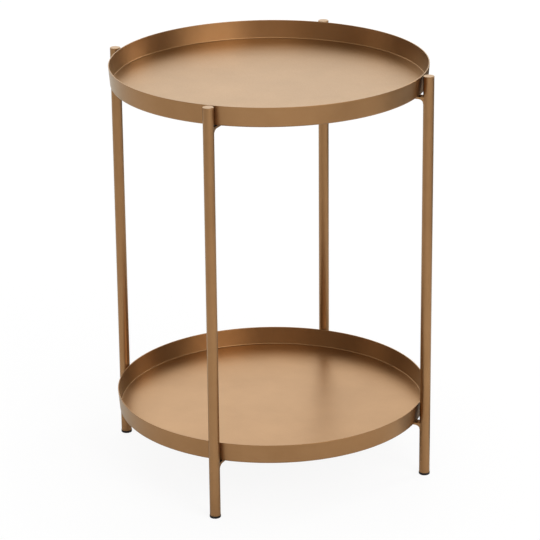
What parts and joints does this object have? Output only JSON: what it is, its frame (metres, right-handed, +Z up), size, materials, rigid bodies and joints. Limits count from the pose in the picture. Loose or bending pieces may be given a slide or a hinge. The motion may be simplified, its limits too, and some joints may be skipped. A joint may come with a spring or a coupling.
{
  "type": "tiered side table",
  "caption": "Round side table with an upper and a lower shallow metal tray, bolted by small welded tabs to straight tube legs that stand outside the rims and end level with the top.",
  "frame": {"origin": "on the floor, under the middle of the trays", "axes": "+Z up; the front leg stands on -Y, the right leg on +X, the back leg on +Y, the left leg on -X"},
  "size_m": [0.4126, 0.4126, 0.51],
  "materials": {
    "gold_paint": "satin metallic gold paint",
    "black_plastic": "matt moulded black",
    "black_rubber": "matt black",
    "zinc_steel": "bright zinc plate"
  },
  "bodies": {
    "root": {"upper_tray": "gold_paint", "lower_tray": "gold_paint", "front_leg": "gold_paint", "front_leg_top_cap": "gold_paint", "front_foot": "black_plastic", "upper_front_bracket": "gold_paint", "upper_front_pad": "black_rubber", "upper_front_stud": "zinc_steel", "upper_front_nut": "zinc_steel", "lower_front_bracket": "gold_paint", "lower_front_pad": "black_rubber", "lower_front_stud": "zinc_steel", "lower_front_nut": "zinc_steel", "right_leg": "gold_paint", "right_leg_top_cap": "gold_paint", "right_foot": "black_plastic", "upper_right_bracket": "gold_paint", "upper_right_pad": "black_rubber", "upper_right_stud": "zinc_steel", "upper_right_nut": "zinc_steel", "lower_right_bracket": "gold_paint", "lower_right_pad": "black_rubber", "lower_right_stud": "zinc_steel", "lower_right_nut": "zinc_steel", "back_leg": "gold_paint", "back_leg_top_cap": "gold_paint", "back_foot": "black_plastic", "upper_back_bracket": "gold_paint", "upper_back_pad": "black_rubber", "upper_back_stud": "zinc_steel", "upper_back_nut": "zinc_steel", "lower_back_bracket": "gold_paint", "lower_back_pad": "black_rubber", "lower_back_stud": "zinc_steel", "lower_back_nut": "zinc_steel", "left_leg": "gold_paint", "left_leg_top_cap": "gold_paint", "left_foot": "black_plastic", "upper_left_bracket": "gold_paint", "upper_left_pad": "black_rubber", "upper_left_stud": "zinc_steel", "upper_left_nut": "zinc_steel", "lower_left_bracket": "gold_paint", "lower_left_pad": "black_rubber", "lower_left_stud": "zinc_steel", "lower_left_nut": "zinc_steel"}
  },
  "joints": []
}
